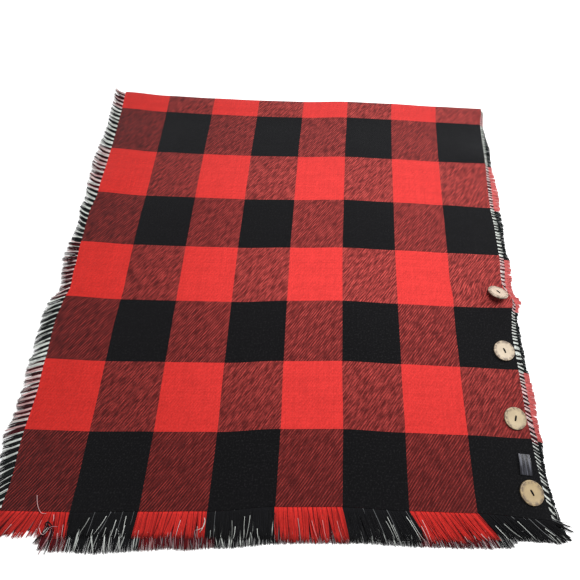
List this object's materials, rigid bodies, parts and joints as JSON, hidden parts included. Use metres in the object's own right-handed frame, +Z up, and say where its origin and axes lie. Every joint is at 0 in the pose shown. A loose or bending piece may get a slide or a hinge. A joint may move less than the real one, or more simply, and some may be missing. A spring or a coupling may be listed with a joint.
{
  "type": "shawl",
  "caption": "Fringed buffalo-check shawl laid flat and folded once in half, with coconut-shell buttons and a small bare label along its right edge.",
  "frame": {"origin": "On the surface the shawl lies on, under the middle of its whole outline, fringe included.", "axes": "+Z up from the surface; +Y along the cloth's length from the fringed hems to the fold; +X across the cloth towards the buttons."},
  "size_m": [0.6851, 0.7069, 0.0229],
  "materials": {
    "check_cloth": "soft brushed twill in red and black checks",
    "fringe_yarn": "loose red, black and off-white yarn",
    "coconut_shell": "polished pale coconut shell with brown flecks",
    "label_satin": "black satin ribbon, bare"
  },
  "bodies": {
    "root": {"cloth_panel": "check_cloth", "fringe_hem_upper": "fringe_yarn", "fringe_hem_under": "fringe_yarn", "fringe_left_upper": "fringe_yarn", "fringe_left_under": "fringe_yarn", "fringe_right_upper": "fringe_yarn", "fringe_right_under": "fringe_yarn", "button_1": "coconut_shell", "button_2": "coconut_shell", "button_3": "coconut_shell", "button_4": "coconut_shell", "label": "label_satin"}
  },
  "joints": []
}
